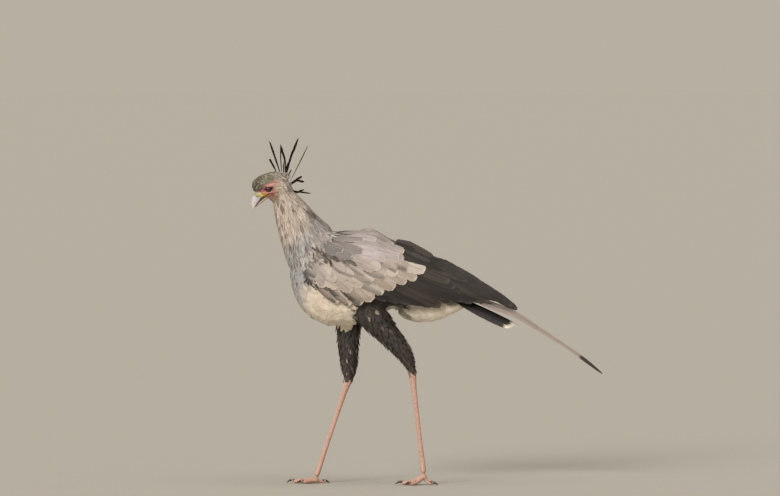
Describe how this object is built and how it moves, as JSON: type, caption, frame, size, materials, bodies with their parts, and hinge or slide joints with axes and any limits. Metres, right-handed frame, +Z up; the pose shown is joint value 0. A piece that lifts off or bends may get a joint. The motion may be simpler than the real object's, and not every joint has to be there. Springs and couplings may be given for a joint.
{
  "type": "secretary bird model",
  "caption": "Life-size secretary bird model standing mid-stride on two long legs, with folded wings, a crest of loose plumes and long tail streamers.",
  "frame": {"origin": "centre of the bounding box in plan, on the floor under the feet", "axes": "+Z up, -X the way the bird walks and faces, +Y to its right side"},
  "size_m": [1.0259, 0.248, 1.007],
  "materials": {
    "grey_plumage": "soft grey contour feathers with pale fringes",
    "pale_plumage": "pale grey breast fading to off-white belly feathers",
    "black_plumage": "brown-black flight, crest, tail and thigh feathers",
    "bill_horn": "pale blue-grey horn with a yellow base",
    "eye": "wet dark hazel eye",
    "leg_skin": "dull flesh-coloured scaly skin",
    "claw_horn": "worn dark horn"
  },
  "bodies": {
    "root": {"head": "grey_plumage", "neck": "grey_plumage", "wing_left_scapulars": "grey_plumage", "wing_right_scapulars": "grey_plumage", "wing_left_coverts": "grey_plumage", "wing_right_coverts": "grey_plumage", "tail_streamer_left": "grey_plumage", "tail_streamer_right": "grey_plumage", "trunk": "pale_plumage", "rump": "pale_plumage", "crest": "black_plumage", "wing_left_tertials": "black_plumage", "wing_right_tertials": "black_plumage", "wing_left_secondaries": "black_plumage", "wing_right_secondaries": "black_plumage", "wing_left_primaries": "black_plumage", "wing_right_primaries": "black_plumage", "tail_fan": "black_plumage", "thigh_left": "black_plumage", "thigh_right": "black_plumage", "bill_upper": "bill_horn", "bill_lower": "bill_horn", "eye_left": "eye", "eye_right": "eye", "shank_left": "leg_skin", "shank_right": "leg_skin", "foot_left": "leg_skin", "foot_right": "leg_skin", "claw_left_inner": "claw_horn", "claw_left_middle": "claw_horn", "claw_left_outer": "claw_horn", "claw_left_hind": "claw_horn", "claw_right_inner": "claw_horn", "claw_right_middle": "claw_horn", "claw_right_outer": "claw_horn", "claw_right_hind": "claw_horn"}
  },
  "joints": []
}
